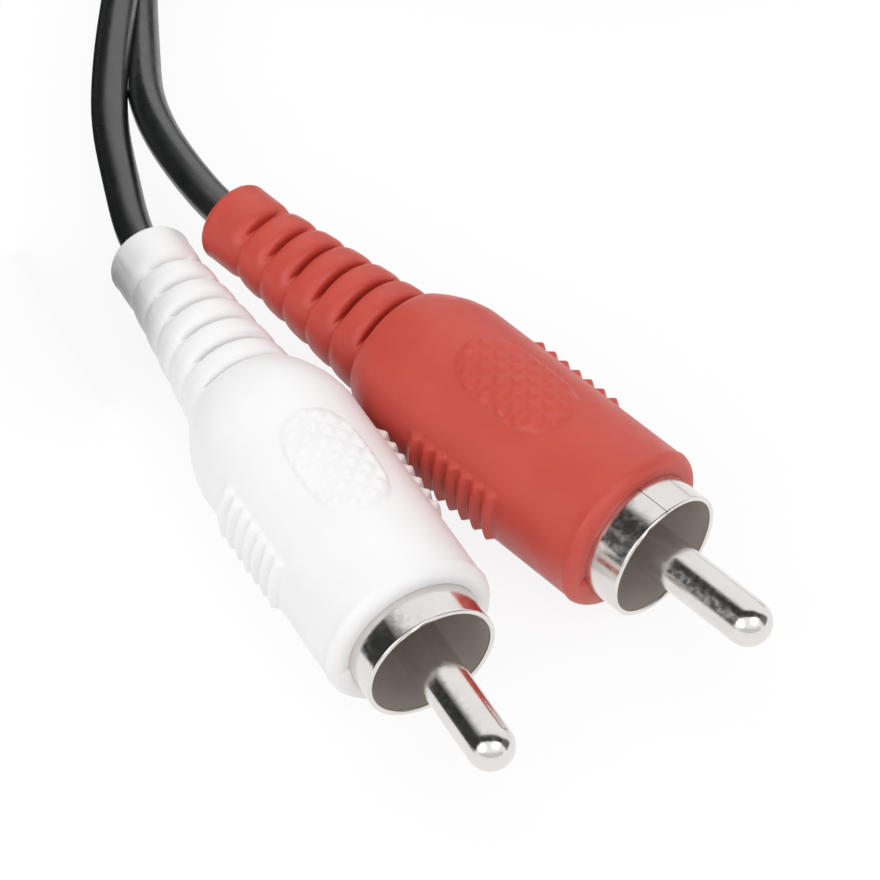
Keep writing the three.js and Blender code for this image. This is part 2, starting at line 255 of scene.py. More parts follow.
FAR_WHITE_LEG = [
    (0.0569, 0.106, 0.0015),
    (0.0572, 0.1035, 0.0021),
    (0.0553, 0.098, 0.0044),
    (0.0542, 0.0915, 0.0061),
    behind("far_white", 0),
]
FAR_RED_LEG = [
    (0.0595, 0.106, 0.0015),
    (0.0606, 0.1035, 0.0021),
    (0.0626, 0.097, 0.0044),
    (0.0635, 0.0905, 0.0061),
    behind("far_red", 0),
]

# The white core turns from beside the red one to the top of it, and on round to its other side:
# distances along the twin cord from its near and its far end, and degrees from the horizontal
NEAR_TWIST = ((0, 0), (0.004, 18), (0.0085, 47), (0.016, 72), (0.029, 90))
FAR_TWIST = ((0.045, 90), (0.03, 100), (0.004, 176), (0, 180))


# Meshes


def as_object(name, points, faces, smooth_angle=50):
    """A mesh object from points and faces, with its normals pointing out."""
    mesh = bpy.data.meshes.new(name)
    mesh.from_pydata(np.asarray(points).tolist(), [], faces)
    solid = bmesh.new()
    solid.from_mesh(mesh)
    bmesh.ops.recalc_face_normals(solid, faces=solid.faces)
    solid.to_mesh(mesh)
    solid.free()
    mesh.shade_smooth()
    mesh.set_sharp_from_angle(angle=math.radians(smooth_angle))
    piece = bpy.data.objects.new(name, mesh)
    bpy.context.scene.collection.objects.link(piece)
    return piece


def grid_faces(rows, columns, closed_rows=False, closed_columns=True):
    """Quads between the rows and columns of a grid of points, given as corner numbers."""
    down = np.arange(rows if closed_rows else rows - 1)
    across = np.arange(columns if closed_columns else columns - 1)
    i, j = np.meshgrid(down, across, indexing="ij")
    i_next = (i + 1) % rows
    j_next = (j + 1) % columns
    row, row_next = i * columns, i_next * columns
    corners = (row + j, row + j_next, row_next + j_next, row_next + j)
    return np.stack([c.ravel() for c in corners], axis=1)


def turned(stations, radii, angles):
    """Points of a surface about the X axis. Radii has a row for each station."""
    s = np.broadcast_to(stations.reshape(len(stations), -1), radii.shape)
    y = radii * np.cos(angles)[None, :]
    z = radii * np.sin(angles)[None, :]
    return np.stack([s, y, z], axis=2).reshape(-1, 3)


def arc(s, r, radius, start, end, steps):
    """Points of a round in the s, r plane, in degrees from the s axis."""
    angles = np.radians(np.linspace(start, end, steps + 1))
    return [(s + radius * math.cos(a), r + radius * math.sin(a)) for a in angles]


def lathe(name, plug, outline):
    """An outline of (s, r) points, with its ends on the axis, turned about a plug's axis."""
    segments = 96
    angles = np.linspace(0, 2 * math.pi, segments, endpoint=False)
    inner = np.array(outline[1:-1])
    points = turned(inner[:, 0], np.repeat(inner[:, 1:], segments, axis=1), angles)
    faces = grid_faces(len(inner), segments).tolist()
    first = list(range(segments))
    last = [(len(inner) - 1) * segments + i for i in range(segments)]
    rear = len(points)
    ends = [(outline[0][0], 0, 0), (outline[-1][0], 0, 0)]
    faces += [(rear, first[i], first[(i + 1) % segments]) for i in range(segments)]
    faces += [(rear + 1, last[(i + 1) % segments], last[i]) for i in range(segments)]
    return as_object(name, placed(np.vstack([points, ends]), plug), faces)


# Outer moulding


def softened(corners, spread):
    """A radius along s through these corners, with each corner rounded."""
    fine = 0.02 * MM
    s = np.arange(corners[0][0] - 4 * spread, corners[-1][0] + 4 * spread, fine)
    r = np.interp(s, [c[0] for c in corners], [c[1] for c in corners])
    reach = int(3 * spread / fine)
    weight = np.exp(-0.5 * (np.arange(-reach, reach + 1) * fine / spread) ** 2)
    padded = np.pad(r, reach, mode="edge")
    smooth = np.convolve(padded, weight / weight.sum(), mode="valid")
    return lambda wanted: np.interp(wanted, s, smooth)


def crest_radius(s):
    """Radius of the tapering strain relief over its rings."""
    return NECK_RADIUS - RELIEF_TAPER * (CONE_REAR - s)


def envelope():
    """The moulding's radius without its grooves and grips."""
    collar = crest_radius(LAST_GROOVE) - 0.04 * MM
    return softened(
        [
            (PLUG_REAR - 1 * MM, collar),
            (LAST_GROOVE - 0.6 * MM, collar),
            (LAST_GROOVE, crest_radius(LAST_GROOVE)),
            (CONE_REAR, NECK_RADIUS),
            (CONE_REAR + 0.3 * MM, NECK_RADIUS + 0.25 * MM),
            (BODY_REAR - 2.3 * MM, BODY_RADIUS - 0.75 * MM),
            (BODY_REAR - 1.1 * MM, BODY_RADIUS - 0.28 * MM),
            (BODY_REAR + 0.3 * MM, BODY_RADIUS),
            (FACE, BODY_RADIUS),
        ],
        CORNER_SOFTNESS,
    )


SMOOTH_OUTLINE = envelope()


def groove_offsets(s):
    """Distance along s to the nearest groove of the relief."""
    grooves = CONE_REAR - RELIEF_PITCH * np.arange(RELIEF_RINGS + 1)
    return np.abs(s[:, None] - grooves[None, :]).min(axis=1)


def lesser(one, other, blend):
    """The smaller of two heights, with their meeting rounded off."""
    share = np.clip(0.5 + (other - one) / (2 * blend), 0, 1)
    return other * (1 - share) + one * share - blend * share * (1 - share)


def relief(s, angles, radius):
    """Cuts the scallops, and the slots above and below with their rounded lips, into the radius."""
    offset = groove_offsets(s)[:, None]
    scallop = radius - SCALLOP * np.clip(1 - offset / SCALLOP_REACH, 0, 1) ** 2
    lip_centre = SLOT_WIDTH / 2 + SLOT_LIP
    inward = np.clip(lip_centre - offset, 0, SLOT_LIP)
    lip = radius + SLOT_PROUD - SLOT_LIP + np.sqrt(SLOT_LIP**2 - inward**2)
    lip = np.where(offset < SLOT_WIDTH / 2 - 1e-7, 0, lip)
    upward = np.abs(np.sin(angles))[None, :]
    floor = SLOT_FLOOR / np.maximum(upward, 0.05) + 0 * radius
    depth = radius + lesser(-lip, -floor, FLOOR_BLEND)
    slot = radius - depth * soft_step(upward, *SLOT_FADE)
    return lesser(scallop, slot, GROOVE_BLEND)


def pad_rise(s, angles):
    """Height of the diamond pads over the body, above and below."""
    along = s[:, None] - GRIP_MIDDLE
    from_pole = np.mod(angles, math.pi) - math.pi / 2
    across = BODY_RADIUS * from_pole[None, :] + 0 * along
    lengthwise = np.abs(2 * along / PAD_LENGTH) ** PAD_FULLNESS
    oval = (lengthwise + np.abs(2 * across / PAD_WIDTH) ** PAD_FULLNESS) ** (1 / PAD_FULLNESS)
    side = DIAMOND_STEPS * FINE_STEP * math.sqrt(2)
    first = np.mod((along + across) / math.sqrt(2) + side / 2, side) - side / 2
    second = np.mod((along - across) / math.sqrt(2) + side / 2, side) - side / 2
    peak = 1 - np.maximum(np.abs(first), np.abs(second)) / (side / 2)
    diamond = soft_step(peak, 0, DIAMOND_SLOPE)
    inside = 1 - soft_step(oval, PAD_EDGE, 1.0)
    return inside * (PAD_RISE + DIAMOND_RISE * diamond)


def rib_rise(s, angles):
    """Height of the saw-tooth ribs in the patch on each side of the body."""
    stations = rib_stations()
    corners = [(root, 0) for root in stations[:RIB_COUNT + 1]]
    corners += [(crest, RIB_HEIGHT) for crest in stations[RIB_COUNT + 1:]]
    profile = softened(sorted(corners), RIB_ROUND)
    height = np.abs(np.sin(angles)) * BODY_RADIUS
    patch = 1 - soft_step(height, *RIB_PATCH_EDGE)
    return profile(s)[:, None] * patch[None, :]


def skin_radius(s, angles):
    """The moulding's radius at each s and angle, with its relief and its grips."""
    plain = np.repeat(SMOOTH_OUTLINE(s)[:, None], len(angles), axis=1)
    return relief(s, angles, plain) + pad_rise(s, angles) + rib_rise(s, angles)


def rib_stations():
    """The roots and the crests of the ribs."""
    pitch = RIB_LENGTH / RIB_COUNT
    roots = RIB_MIDDLE - RIB_LENGTH / 2 + pitch * np.arange(RIB_COUNT + 1)
    return np.concatenate([roots, roots[:-1] + RIB_RISE_SHARE * pitch])


def skin_stations():
    """Where the moulding's rows lie along s: close together at the grips and the slots."""
    half = 45
    grip = GRIP_MIDDLE + FINE_STEP * np.arange(-half, half + 1)
    ribs = rib_stations()
    clear = np.abs(grip[:, None] - ribs[None, :]).min(axis=1) > 0.03 * MM
    stations = [grip[clear], ribs]
    stations.append(np.linspace(FACE - FACE_ROUND, grip[-1] + 0.3 * MM, 9))
    stations.append(np.linspace(grip[0] - 0.3 * MM, CONE_REAR + 1.1 * MM, 26))
    quarter = np.radians(np.linspace(0, 90, 11))
    lip = SLOT_WIDTH / 2 + SLOT_LIP * (1 - np.cos(quarter))
    offsets = np.concatenate([[0, SLOT_WIDTH / 2 - 0.004 * MM], lip, [RELIEF_PITCH / 2]])
    for i in range(RELIEF_RINGS + 1):
        groove = CONE_REAR - i * RELIEF_PITCH
        stations.append(groove + offsets)
        stations.append(groove - offsets)
    stations.append(np.linspace(PLUG_REAR + COLLAR_ROUND, LAST_GROOVE - 1.3 * MM, 5))
    merged = np.unique(np.round(np.concatenate(stations), 8))
    return merged[::-1]


def skin_angles():
    """Columns round the moulding: close together over the pads and at the ribs' ends."""
    step = FINE_STEP / BODY_RADIUS
    half = 28
    top = math.pi / 2 + step * np.arange(-half, half + 1)
    edge = math.asin(RIB_PATCH_WIDTH / 2 / BODY_RADIUS)
    near, far = edge - math.radians(4), edge + math.radians(4)
    quarter = np.concatenate([
        np.linspace(0, near, 11)[1:],
        np.linspace(near, far, 8)[1:],
        np.linspace(far, top[0], 23)[1:-1],
    ])
    upper = np.concatenate([[0], quarter, top, np.sort(math.pi - quarter)])
    notch = NOTCH_ANGLE + math.radians(1.2) * np.arange(-5, 6)
    lower = upper + math.pi
    clear = (lower < notch[0] - 0.01) | (lower > notch[-1] + 0.01)
    return np.sort(np.concatenate([upper, notch, lower[clear]]))


def face_step(angles):
    """How far the mouth's lower half stands forward, with a nick where it starts."""
    turn = np.mod(angles, 2 * math.pi)
    rise = soft_step(turn, NOTCH_ANGLE, NOTCH_ANGLE + NICK_WIDTH)
    fall = soft_step(turn, *STEP_END)
    nick = np.clip(1 - np.abs(turn - NOTCH_ANGLE) / NICK_WIDTH, 0, 1)
    return FACE_STEP * (rise - fall) - NICK_DEPTH * nick


def moulding_shape():
    """Points and triangles of the outer moulding in a plug's own frame."""
    angles = skin_angles()
    ones = np.ones(len(angles))
    lip, lip_centre = MOUTH_ROUND, MOUTH_RADIUS + MOUTH_ROUND
    front = [(FACE - 2 * MM, MOUTH_RADIUS), (FACE - lip, MOUTH_RADIUS)]
    front += arc(FACE - lip, lip_centre, lip, -90, 0, 3)[1:]
    front += arc(FACE - FACE_ROUND, BODY_RADIUS - FACE_ROUND, FACE_ROUND, 0, 90, 10)[:-1]
    stations = skin_stations()
    collar = float(SMOOTH_OUTLINE(PLUG_REAR))
    rear = arc(PLUG_REAR + COLLAR_ROUND, collar - COLLAR_ROUND, COLLAR_ROUND, 90, 180, 8)[1:]
    rear += [(PLUG_REAR, CORD_HOLE + HOLE_ROUND + EDGE_ROW)]
    rear += arc(PLUG_REAR + HOLE_ROUND, CORD_HOLE + HOLE_ROUND, HOLE_ROUND, 180, 270, 3)
    rear += [(PLUG_REAR + 2 * MM, CORD_HOLE)]
    skin = skin_radius(stations, angles)
    all_s = np.concatenate([[p[0] for p in front], stations, [p[0] for p in rear]])
    radii = np.vstack([[p[1] * ones for p in front], skin, [p[1] * ones for p in rear]])
    outward = (radii - lip_centre) / (0.7 * FACE_ROUND)
    forward = np.clip(1 - outward, 0, 1) * (all_s > FACE - FACE_ROUND)[:, None]
    points = turned(all_s[:, None] + forward * face_step(angles)[None, :], radii, angles)
    quads = grid_faces(len(all_s), len(angles))
    return points, split_quads(points, quads, len(front), len(stations), angles, stations)


def split_quads(points, quads, first, count, angles, stations):
    """Two triangles for each quad, along the diagonal that lies closer to the true surface."""
    columns = len(angles)
    row = quads[:, 0] // columns
    a, b, c, d = (points[quads[:, k]] for k in range(4))
    one, other = (a + c) / 2, (b + d) / 2
    middle_s = (stations[:-1] + stations[1:]) / 2
    ahead = np.append(angles[1:], angles[0] + 2 * math.pi)
    true_radius = skin_radius(middle_s, (angles + ahead) / 2).ravel()
    in_skin = (row >= first) & (row < first + count - 1)
    miss = np.full((2, len(quads)), 0.0)
    for k, centre in enumerate((one, other)):
        miss[k, in_skin] = np.abs(np.hypot(centre[in_skin, 1], centre[in_skin, 2]) - true_radius)
    use_other = miss[1] < miss[0]
    first_half = np.where(use_other[:, None], quads[:, [0, 1, 3]], quads[:, [0, 1, 2]])
    second_half = np.where(use_other[:, None], quads[:, [1, 2, 3]], quads[:, [0, 2, 3]])
    return np.vstack([first_half, second_half]).tolist()


# Contacts


def shield_ring(plug):
    """The rolled strip, with its rim rounded and one seam, on top unless turned from there."""
    edge = RING_EDGE
    inner = RING_RADIUS - RING_SHEET
    section = [(-RING_LENGTH, inner), (-RING_LENGTH, RING_RADIUS), (-1.5 * edge, RING_RADIUS)]
    section += arc(-edge, RING_RADIUS - edge, edge, 90, 0, 4)
    section += arc(-edge, inner + edge, edge, 0, -90, 4)
    section += [(-1.5 * edge, inner)]
    section = np.array(section)
    gap = RING_SEAM / 2 / RING_RADIUS
    angles = np.linspace(math.pi / 2 + gap, 2.5 * math.pi - gap, 180)
    angles += math.radians(RING_SEAM_TURNS.get(plug, 0))
    points = turned(section[:, 0], np.repeat(section[:, 1:], len(angles), axis=1), angles)
    faces = grid_faces(len(section), len(angles), closed_rows=True, closed_columns=False).tolist()
    faces.append([i * len(angles) for i in range(len(section))])
    faces.append([i * len(angles) + len(angles) - 1 for i in range(len(section))][::-1])
    strip = as_object(f"{plug}_ring_strip", placed(points, plug), faces, 40)
    # The inside of the strip takes the second slot: the bore's copy of the nickel, with painted
    # light.
    bore = (len(section) - 1) * (len(angles) - 1)
    for i in range(bore, bore + len(angles) - 1):
        strip.data.polygons[i].material_index = 1
    return strip


def contact_pin(plug):
    """The centre pin with its round tip, and its thinner shank in the insulator."""
    shoulder = INSULATOR_FACE + SHANK_SEAT
    outline = [(PIN_REAR, 0), (PIN_REAR, SHANK_RADIUS), (shoulder, SHANK_RADIUS)]
    outline += [(shoulder, PIN_RADIUS), (PIN_REACH - PIN_RADIUS - 0.2 * MM, PIN_RADIUS)]
    outline += arc(PIN_REACH - PIN_RADIUS, 0, PIN_RADIUS, 90, 4, 16)
    outline += [(PIN_REACH, 0)]
    return lathe(f"{plug}_centre_contact", plug, outline)


def insulator_disc(plug):
    """The moulded disc at the bottom of the ring, with a low hub round the pin."""
    outer = RING_RADIUS - RING_SHEET - INSULATOR_GAP
    floor = INSULATOR_FACE - HUB_RISE
    outline = [(INSULATOR_REAR, 0), (INSULATOR_REAR, outer), (floor, outer)]
    outline += [(floor, HUB_RADIUS + HUB_SLOPE), (INSULATOR_FACE, HUB_RADIUS), (INSULATOR_FACE, 0)]
    return lathe(f"{plug}_insulator_disc", plug, outline)


# Cord


def curve_through(points, step):
    """A smooth line through these points, as points a step apart."""
    p = np.array(points, float)
    p = np.vstack([2 * p[0] - p[1], p, 2 * p[-1] - p[-2]])
    pieces = []
    for a, b, c, d in zip(p[:-3], p[1:-2], p[2:-1], p[3:]):
        knots = [0.0]
        for one, two in ((a, b), (b, c), (c, d)):
            knots.append(knots[-1] + math.sqrt(max(np.linalg.norm(two - one), 1e-9)))
        t0, t1, t2, t3 = knots
        t = np.linspace(t1, t2, 12, endpoint=False)[:, None]
        ab = (t1 - t) / (t1 - t0) * a + (t - t0) / (t1 - t0) * b
        bc = (t2 - t) / (t2 - t1) * b + (t - t1) / (t2 - t1) * c
        cd = (t3 - t) / (t3 - t2) * c + (t - t2) / (t3 - t2) * d
        left = (t2 - t) / (t2 - t0) * ab + (t - t0) / (t2 - t0) * bc
        right = (t3 - t) / (t3 - t1) * bc + (t - t1) / (t3 - t1) * cd
        pieces.append((t2 - t) / (t2 - t1) * left + (t - t1) / (t2 - t1) * right)
    return evenly(np.vstack([*pieces, p[-2:-1]]), step)


def distances(line):
    """How far along a line each of its points lies."""
    return np.concatenate([[0], np.cumsum(np.linalg.norm(np.diff(line, axis=0), axis=1))])


def evenly(line, step):
    """The same line with its points about a step apart."""
    along = distances(line)
    wanted = np.linspace(0, along[-1], max(2, round(along[-1] / step) + 1))
    return np.stack([np.interp(wanted, along, line[:, k]) for k in range(3)], axis=1)


def eased(line):
    """A line with its sharper bends smoothed, and its ends where they were."""
    weight = np.array([1, 2, 3, 2, 1]) / 9
    for _ in range(3):
        padded = np.vstack([2 * line[0] - line[2:0:-1], line, 2 * line[-1] - line[-2:-4:-1]])
        line = np.stack([np.convolve(padded[:, k], weight, mode="valid") for k in range(3)], axis=1)
    return line


def coil_turns():
    """The turns of the coil: inwards over the surface, up at the inside, and outwards on top."""
    per_turn = 24
    count = int(ALL_TURNS * per_turn)
    points = []
    for i in range(count + 1):
        turn = i / per_turn
        inwards = min(turn / LOWER_TURNS, 1)
        climb = min(max((turn - LOWER_TURNS) / CLIMB_TURNS, 0), 1)
        outwards = max(turn - LOWER_TURNS - CLIMB_TURNS, 0) / LOWER_TURNS
        radius = COIL_OUTER + (COIL_INNER - COIL_OUTER) * (inwards - outwards)
        angle = math.pi - 2 * math.pi * turn
        height = COIL_LOW + (COIL_HIGH - COIL_LOW) * climb * climb * (3 - 2 * climb)
        x = COIL_CENTRE[0] + radius * math.cos(angle)
        points.append((x, COIL_CENTRE[1] + radius * math.sin(angle), height))
    return points


def frames(line):
    """Direction, left side and upper side at each point of a line."""
    ahead = np.gradient(line, axis=0)
    ahead /= np.linalg.norm(ahead, axis=1)[:, None]
    left = np.cross([0, 0, 1], ahead)
    left /= np.linalg.norm(left, axis=1)[:, None]
    return ahead, left, np.cross(ahead, left)


def tube(line, radii=(CORE_RADIUS, CORE_RADIUS), sides=CORE_SIDES, tilt=None):
    """Points and faces of a closed tube with an oval section along a line."""
    _, left, upper = frames(line)
    if tilt is not None:
        cos, sin = np.cos(tilt)[:, None], np.sin(tilt)[:, None]
        left, upper = cos * left + sin * upper, cos * upper - sin * left
    angles = np.linspace(0, 2 * math.pi, sides, endpoint=False)
    across = radii[0] * np.cos(angles)
    over = radii[1] * np.sin(angles)
    points = line[:, None, :] + across[None, :, None] * left[:, None, :]
    points = (points + over[None, :, None] * upper[:, None, :]).reshape(-1, 3)
    faces = grid_faces(len(line), sides).tolist()
    faces.append(list(range(sides))[::-1])
    faces.append([(len(line) - 1) * sides + i for i in range(sides)])
    return points, faces


def joined(parts):
    """Several lots of points and faces as one."""
    points, faces = [], []
    count = 0
    for part_points, part_faces in parts:
        points.append(part_points)
        faces += [[corner + count for corner in face] for face in part_faces]
        count += len(part_points)
    return np.vstack(points), faces


def twist(line):
    """The angle of the white core about the twin cord's centre, at each point of it."""
    along = distances(line)
    total = along[-1]
    keys = list(NEAR_TWIST) + [(total - back, turn) for back, turn in FAR_TWIST]
    return np.radians(np.interp(along, [k[0] for k in keys], [k[1] for k in keys]))


def into_collar(leg):
    """A leg's points, with its end moved on into the collar so that no gap shows."""
    first, second = np.array(leg[0]), np.array(leg[1])
    ahead = (first - second) / np.linalg.norm(first - second)
    return [tuple(first + INTO_COLLAR * ahead), *leg[1:]]


def core_lines():
    """The twin cord's middle line with its twist, and the line of each core from plug to plug."""
    twin = curve_through(TWIN_RUN[:-1] + coil_turns() + FAR_TWIN_RUN, CORE_STEP)
    tilt = twist(twin)
    _, left, upper = frames(twin)
    toward_white = np.cos(tilt)[:, None] * left + np.sin(tilt)[:, None] * upper
    past_coil = distances(twin) > CORD_LENGTH / 2
    twin[:, 2] -= CORE_RADIUS * (1 - np.sin(tilt)) * past_coil
    guides = slice(WEB_START, -WEB_START, CORE_STRIDE)
    cores = {}
    for name, sign, near, far in (
        ("white", 1, WHITE_LEG, FAR_WHITE_LEG),
        ("red", -1, RED_LEG, FAR_RED_LEG),
    ):
        beside = (twin + sign * CORE_OFFSET * toward_white)[guides]
        far_end = into_collar(far[::-1])[::-1]
        route = [*into_collar(near), *map(tuple, beside), *far_end]
        cores[name] = eased(curve_through(route, CORE_STEP))
    return twin, tilt, cores


def nearest(line, point):
    """The number of the point on a line that lies closest to this one."""
    return int(np.linalg.norm(line - np.array(point), axis=1).argmin())


def make_cord():
    """The cord from plug to plug, the red plugs' own legs, and the cord's path."""
    twin, tilt, cores = core_lines()
    red = cores["red"]
    split, rejoin = nearest(red, twin[RED_SPLIT]), nearest(red, twin[-1 - RED_SPLIT])
    between = slice(WEB_START, -WEB_START)
    web = tube(twin[between], WEB_RADII, WEB_SIDES, tilt[between])
    paired = tube(red[split:rejoin + 1])
    main = as_object("twin_cord", *joined([tube(cores["white"]), paired, web]))
    near_leg = as_object("red_cord_leg", *tube(red[:split + 1]))
    far_leg = as_object("far_red_cord_leg", *tube(red[rejoin:]))
    path = [*WHITE_LEG, *map(tuple, twin), *FAR_WHITE_LEG]
    return main, near_leg, far_leg, path


# Materials. Each noise has a scale in cycles a metre, a detail and sometimes a roughness.

PLASTIC_CLOUD = (260, 3)
PLASTIC_GLOSS = (900, 4)
PLASTIC_GRAIN = (6000, 3)
GRAIN_DEPTH = 0.004 * MM
BLEED_SCALE = 0.6 * MM
METAL_TONE = (700, 3)
METAL_GLOSS = (2600, 3, 0.6)
METAL_PEEL = (9000, 2, 0.6)
PEEL_DEPTH = 0.0014 * MM


def new_material(name):
    """A material with its node tree and its shader."""
    material = bpy.data.materials.new(name)
    material.use_nodes = True
    return material, material.node_tree, material.node_tree.nodes["Principled BSDF"]


def noise(tree, scale, detail, roughness=0.5):
    """A noise in the object's own frame."""
    coords = tree.nodes.new("ShaderNodeTexCoord")
    texture = tree.nodes.new("ShaderNodeTexNoise")
    texture.inputs["Scale"].default_value = scale
    texture.inputs["Detail"].default_value = detail
    texture.inputs["Roughness"].default_value = roughness
    tree.links.new(coords.outputs["Object"], texture.inputs["Vector"])
    return texture.outputs["Fac"]


def mapped(tree, value, low, high, to_low, to_high):
    """A value moved from one range to another."""
    node = tree.nodes.new("ShaderNodeMapRange")
    limits = {"From Min": low, "From Max": high, "To Min": to_low, "To Max": to_high}
    for key, number in limits.items():
        node.inputs[key].default_value = number
    tree.links.new(value, node.inputs["Value"])
    return node.outputs["Result"]


def blended(tree, share, one, other):
    """A colour between two, with more of the other one as the share grows."""
    node = tree.nodes.new("ShaderNodeMix")
    node.data_type = "RGBA"
    node.inputs["A"].default_value = (*one, 1)
    node.inputs["B"].default_value = (*other, 1)
    tree.links.new(share, node.inputs["Factor"])
    return node.outputs["Result"]


def bumped(tree, shader, height, distance):
    """Gives a shader's surface this relief."""
    node = tree.nodes.new("ShaderNodeBump")
    node.inputs["Strength"].default_value = 1
    node.inputs["Distance"].default_value = distance
    tree.links.new(height, node.inputs["Height"])
    tree.links.new(node.outputs["Normal"], shader.inputs["Normal"])


def moulded_plastic(
    name, colour, second, roughness, subsurface=0.0, specular=0.5, bleed=(1, 1, 1)
):
    """Satin moulded plastic: slight cloudiness, uneven gloss and a very fine grain."""
    material, tree, shader = new_material(name)
    cloud = mapped(tree, noise(tree, *PLASTIC_CLOUD), 0.35, 0.65, 0, 1)
    tree.links.new(blended(tree, cloud, colour, second), shader.inputs["Base Color"])
    patches = noise(tree, *PLASTIC_GLOSS)
    gloss = mapped(tree, patches, 0.3, 0.7, roughness - 0.05, roughness + 0.06)
    tree.links.new(gloss, shader.inputs["Roughness"])
    bumped(tree, shader, noise(tree, *PLASTIC_GRAIN), GRAIN_DEPTH)
    shader.inputs["Specular IOR Level"].default_value = specular
    if subsurface:
        shader.inputs["Subsurface Weight"].default_value = subsurface
        shader.inputs["Subsurface Scale"].default_value = BLEED_SCALE
        shader.inputs["Subsurface Radius"].default_value = bleed
    return material


def plated_metal(name, colour, second, roughness, metallic=1.0):
    """Smooth metal with a slight orange peel, and a little cloudiness in its colour and gloss."""
    material, tree, shader = new_material(name)
    shader.inputs["Metallic"].default_value = metallic
    tone = mapped(tree, noise(tree, *METAL_TONE), 0.3, 0.7, 0, 1)
    tree.links.new(blended(tree, tone, colour, second), shader.inputs["Base Color"])
    gloss = mapped(tree, noise(tree, *METAL_GLOSS), 0.4, 0.7, roughness, roughness + 0.12)
    tree.links.new(gloss, shader.inputs["Roughness"])
    bumped(tree, shader, noise(tree, *METAL_PEEL), PEEL_DEPTH)
    return material


MATERIALS = {
    "white": moulded_plastic(
        "white_pvc", (0.902, 0.897, 0.896), (0.882, 0.877, 0.876), 0.42, subsurface=0.3
    ),
    "red": moulded_plastic(
        "red_pvc", (0.6, 0.076, 0.052), (0.57, 0.068, 0.047), 0.42,
        subsurface=0.35, bleed=(1, 0.3, 0.25),
    ),
    "jacket": moulded_plastic(
        "black_pvc", (0.005, 0.006, 0.0058), (0.0075, 0.0085, 0.0082), 0.3, specular=1.5
    ),
    "insulator": moulded_plastic(
        "insulator_brown", (0.36, 0.32, 0.29), (0.31, 0.275, 0.25), 0.5
    ),
    "inner_mould": moulded_plastic(
        "natural_polyethylene", (0.68, 0.66, 0.6), (0.62, 0.6, 0.54), 0.5
    ),
    "dielectric": moulded_plastic(
        "clear_polyethylene", (0.78, 0.77, 0.72), (0.74, 0.73, 0.68), 0.4
    ),
    "nickel": plated_metal(
        "nickel_plate", (0.8, 0.765, 0.74), (0.76, 0.725, 0.7), 0.13
    ),
    # The ring's bore is rougher than the nickel outside. It is also a lighter, partly matt copy of
    # that nickel, which paints light into the shaded inside of the ring.
    "bore": plated_metal(
        "satin_nickel_painted_light", (0.84, 0.79, 0.74), (0.78, 0.73, 0.68), 0.28, metallic=0.66
    ),
    "copper": plated_metal(
        "copper_wire", (0.7, 0.36, 0.2), (0.6, 0.29, 0.15), 0.25
    ),
}
INNER_FINISHES = {
    "inner_mould": "inner_mould",
    "jacket_end": "jacket",
    "screen": "copper",
    "dielectric": "dielectric",
    "wire": "copper",
}


def dressed(piece, finish, *nodes, inside=None):
    """Gives a piece its material and slot, lets it ride, and hides the solids it stands for."""
    piece.data.materials.append(MATERIALS[finish])
    if inside:
        piece.data.materials.append(MATERIALS[inside])
    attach(piece, "root")
    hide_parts(*nodes)
    return piece


# Object


def make_plug(plug, shape):
    """The pieces of a plug that show, and new finishes for the ones inside it."""
    points, faces = shape
    colour = plug.removeprefix("far_")
    roll = np.array(Matrix.Rotation(WHITE_ROLL if plug == "white" else 0, 3, "X"))
    seated = points @ roll.T + [MOULDING_SHIFT.get(plug, 0), 0, 0]
    body = as_object(f"{plug}_moulded_body", placed(seated, plug), faces)
    pieces = [
        dressed(body, colour, f"{plug}_moulding"),
        dressed(shield_ring(plug), "nickel", f"{plug}_shield_ring", inside="bore"),
        dressed(contact_pin(plug), "nickel", f"{plug}_pin"),
        dressed(insulator_disc(plug), "insulator", f"{plug}_insulator"),
    ]
    for part, finish in INNER_FINISHES.items():
        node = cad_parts[f"{plug}_{part}"]
        node.material_slots[0].material = MATERIALS[finish]
        pieces.append(node)
    return pieces


def add_camera():
    """The camera, where the photograph was taken from."""
    data = bpy.data.cameras.new("camera")
    data.sensor_width = SENSOR_WIDTH
    data.lens = SENSOR_WIDTH * FOCAL_PIXELS / PHOTO_PIXELS
    data.clip_start = 0.01
    camera = bpy.data.objects.new("camera", data)
    camera.location = CAMERA_PLACE
    camera.rotation_euler = (math.radians(CAMERA_TILT), 0, 0)
    bpy.context.scene.collection.objects.link(camera)
    bpy.context.scene.camera = camera


add_camera()
cord, red_leg, far_red_leg, cord_path = make_cord()
dressed(cord, "jacket", "white_leg", "twin_run", "coil", "far_twin_run", "far_white_leg")
dressed(red_leg, "jacket", "red_leg")
dressed(far_red_leg, "jacket", "far_red_leg")

body_shape = moulding_shape()
plug_pieces = {plug: make_plug(plug, body_shape) for plug in PLUGS}


# Studio


def camera_or_gloss(tree):
    """1 for what the camera sees straight, in metal or through glass."""
    path = tree.nodes.new("ShaderNodeLightPath")
    share = path.outputs["Is Camera Ray"]
    for other in ("Is Glossy Ray", "Is Transmission Ray"):
        node = tree.nodes.new("ShaderNodeMath")
        node.operation = "MAXIMUM"
        tree.links.new(share, node.inputs[0])
        tree.links.new(path.outputs[other], node.inputs[1])
        share = node.outputs[0]
    return share


